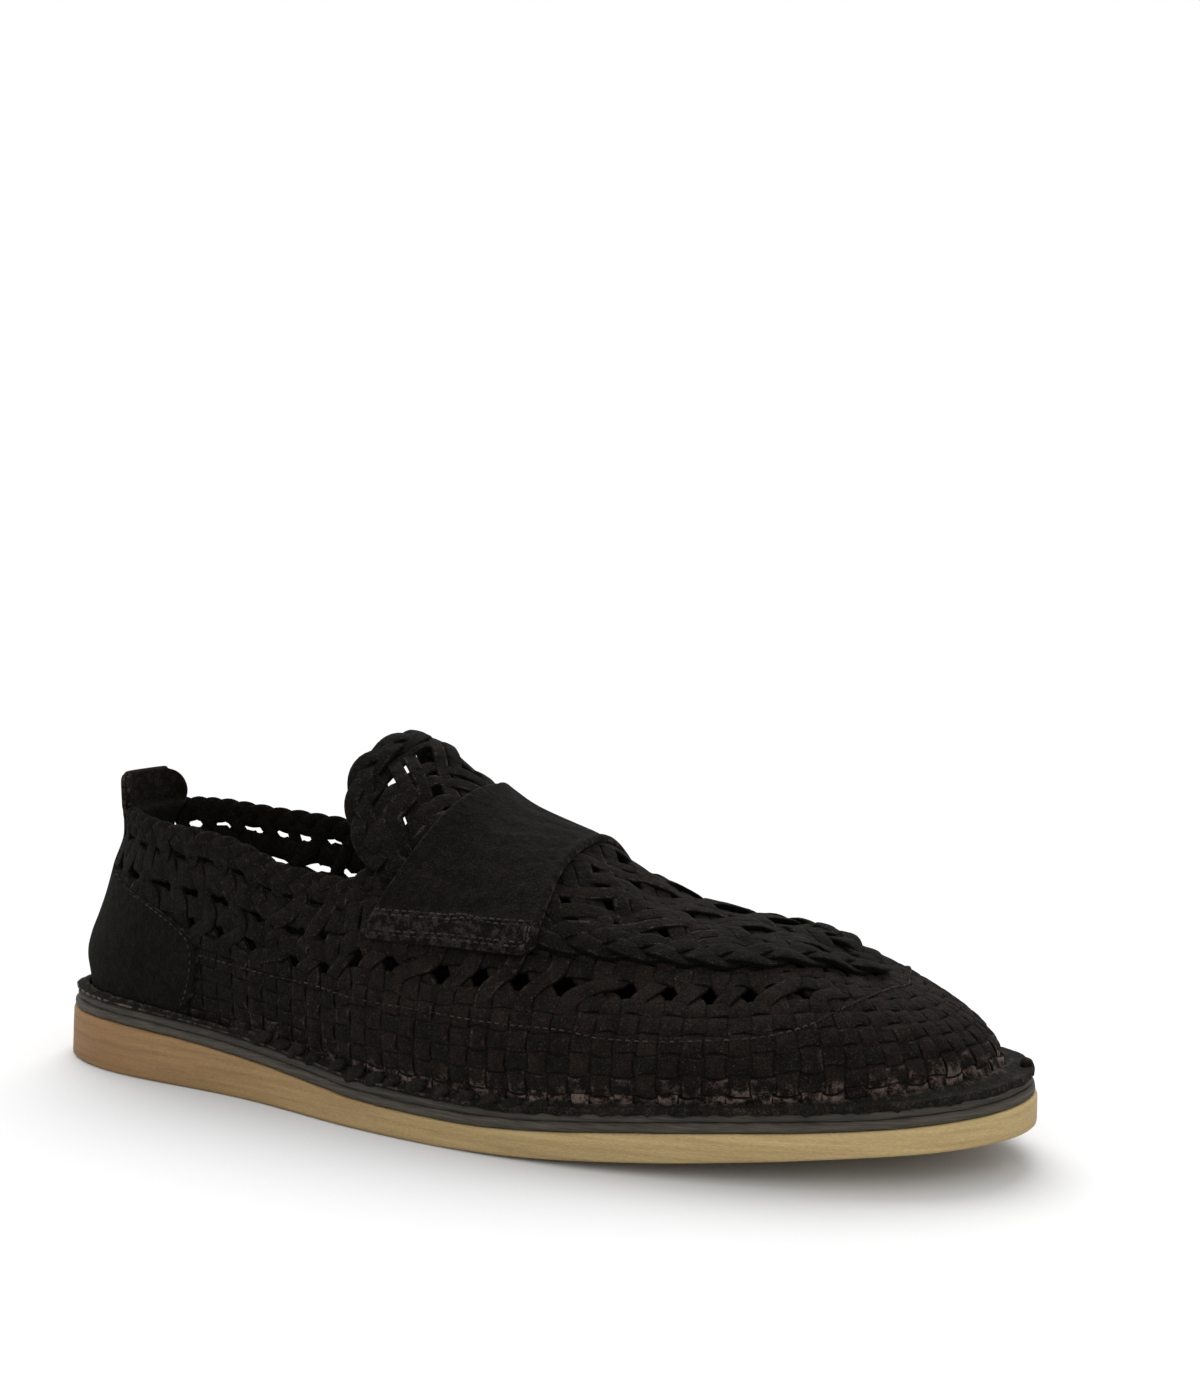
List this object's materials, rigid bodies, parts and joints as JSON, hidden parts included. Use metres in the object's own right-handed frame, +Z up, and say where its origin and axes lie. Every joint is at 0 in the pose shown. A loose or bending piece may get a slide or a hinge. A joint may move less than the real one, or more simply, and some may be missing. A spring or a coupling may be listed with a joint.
{
  "type": "woven loafer",
  "caption": "Slip-on shoe for the right foot: woven suede upper with braided plug and tongue, smooth instep strap, heel counter with pull tab and crepe rubber wedge sole.",
  "frame": {"origin": "on the floor under the middle of the shoe's length and width", "axes": "+X towards the toe, +Y towards the inner side of this right shoe, +Z up"},
  "size_m": [0.3022, 0.1056, 0.1048],
  "materials": {
    "crepe_rubber": "matte crepe rubber with fine lengthwise grain, warmer and darker at the heel",
    "midsole_board": "dull grey-brown layered board edge",
    "midsole_leather": "dull grey-brown leather edge",
    "rand_leather": "rough dark leather strip, whip-stitched",
    "insole_leather": "smooth dark leather sock",
    "woven_suede": "woven flat suede strips, dark brown-grey, scuffed on the lowest row",
    "braided_suede": "braided suede strips, dark brown-grey",
    "strap_suede": "smooth suede with stitched hems",
    "counter_suede": "smooth suede"
  },
  "bodies": {
    "root": {"outsole": "crepe_rubber", "midsole_lower": "midsole_board", "midsole_upper": "midsole_leather", "rand": "rand_leather", "insole": "insole_leather", "upper": "woven_suede", "plug": "braided_suede", "strap": "strap_suede", "heel_counter": "counter_suede"}
  },
  "joints": []
}
